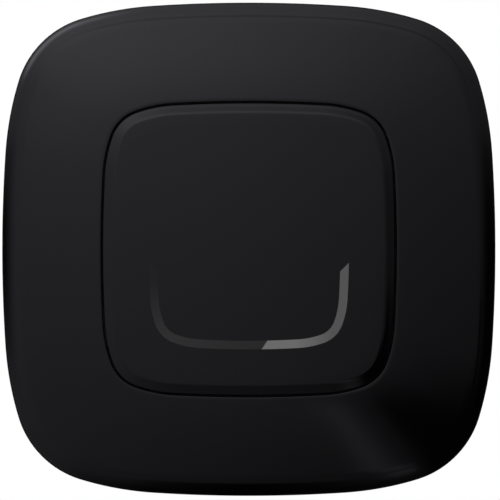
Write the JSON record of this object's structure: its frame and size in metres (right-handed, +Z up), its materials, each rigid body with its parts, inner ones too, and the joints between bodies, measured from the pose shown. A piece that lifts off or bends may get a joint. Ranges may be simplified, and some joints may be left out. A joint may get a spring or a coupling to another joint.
{
  "type": "remote wall switch",
  "caption": "Flat wireless wall switch: a soft-square black front plate round a tilting bevelled key with a U-shaped light guide, on a screw or stick-on wall plate.",
  "frame": {"origin": "middle of the wall plate's back, on the wall, midway between the two level screw slots", "axes": "+Z up the wall, +X to the right seen from the front, the front faces -Y, +Y into the wall"},
  "size_m": [0.092, 0.0103, 0.092],
  "materials": {
    "plate_plastic": "satin black moulding",
    "key_plastic": "satin black moulding",
    "smoked_clear": "smoked translucent",
    "frame_plastic": "matt black moulding",
    "housing_plastic": "fine spark texture",
    "foam": "closed-cell foam with film",
    "zinc_steel": "zinc plated",
    "board_laminate": "green solder mask",
    "chip_epoxy": "moulded epoxy",
    "tinned_steel": "tin plated sheet",
    "nickel_steel": "nickel plated sheet",
    "ceramic": "fired ceramic",
    "switch_plastic": "glass-filled moulding",
    "stem_plastic": "smooth moulding",
    "lamp_resin": "clear resin",
    "clear_rod": "polished clear moulding"
  },
  "bodies": {
    "wall_unit": {"front_plate": "plate_plastic", "wall_plate": "frame_plastic", "adhesive_pads": "foam", "module_base": "housing_plastic", "module_cover": "housing_plastic", "housing_screws": "zinc_steel", "circuit_board": "board_laminate", "radio_chip": "chip_epoxy", "radio_shield": "tinned_steel", "chip_antenna": "ceramic", "timing_crystal": "tinned_steel", "capacitors": "ceramic", "coin_cell": "nickel_steel", "battery_positive_contact": "nickel_steel", "battery_negative_contact": "nickel_steel", "upper_switch_body": "switch_plastic", "lower_switch_body": "switch_plastic", "upper_switch_cap": "tinned_steel", "lower_switch_cap": "tinned_steel", "upper_switch_dome": "nickel_steel", "lower_switch_dome": "nickel_steel", "switch_leads": "tinned_steel", "pairing_switch_body": "switch_plastic", "indicator_led": "lamp_resin", "light_pipe": "clear_rod"},
    "key": {"rocker_key": "key_plastic", "key_carrier": "frame_plastic", "light_guide": "smoked_clear"},
    "upper_stem": {"upper_switch_stem": "stem_plastic"},
    "lower_stem": {"lower_switch_stem": "stem_plastic"},
    "pairing_stem": {"pairing_switch_stem": "stem_plastic"}
  },
  "joints": [
    {"name": "key_tilt", "type": "hinge", "parent": "wall_unit", "child": "key", "pos_m": [0, -0.0077, 0], "axis": [-1, 0, 0], "range_deg": [-1, 1], "stiffness_Nm_per_rad": 1.2},
    {"name": "upper_stem_press", "type": "slide", "parent": "wall_unit", "child": "upper_stem", "axis": [0, 1, 0], "range_m": [-0.00031, 0.00031]},
    {"name": "lower_stem_press", "type": "slide", "parent": "wall_unit", "child": "lower_stem", "axis": [0, 1, 0], "range_m": [-0.00031, 0.00031]},
    {"name": "pairing_press", "type": "slide", "parent": "wall_unit", "child": "pairing_stem", "axis": [0, 1, 0], "range_m": [0, 0.00025], "stiffness_N_per_m": 200}
  ],
  "couplings": [
    {"joint": "upper_stem_press", "follows": "key_tilt", "m_per_rad": 0.0175},
    {"joint": "lower_stem_press", "follows": "key_tilt", "m_per_rad": -0.0175}
  ]
}
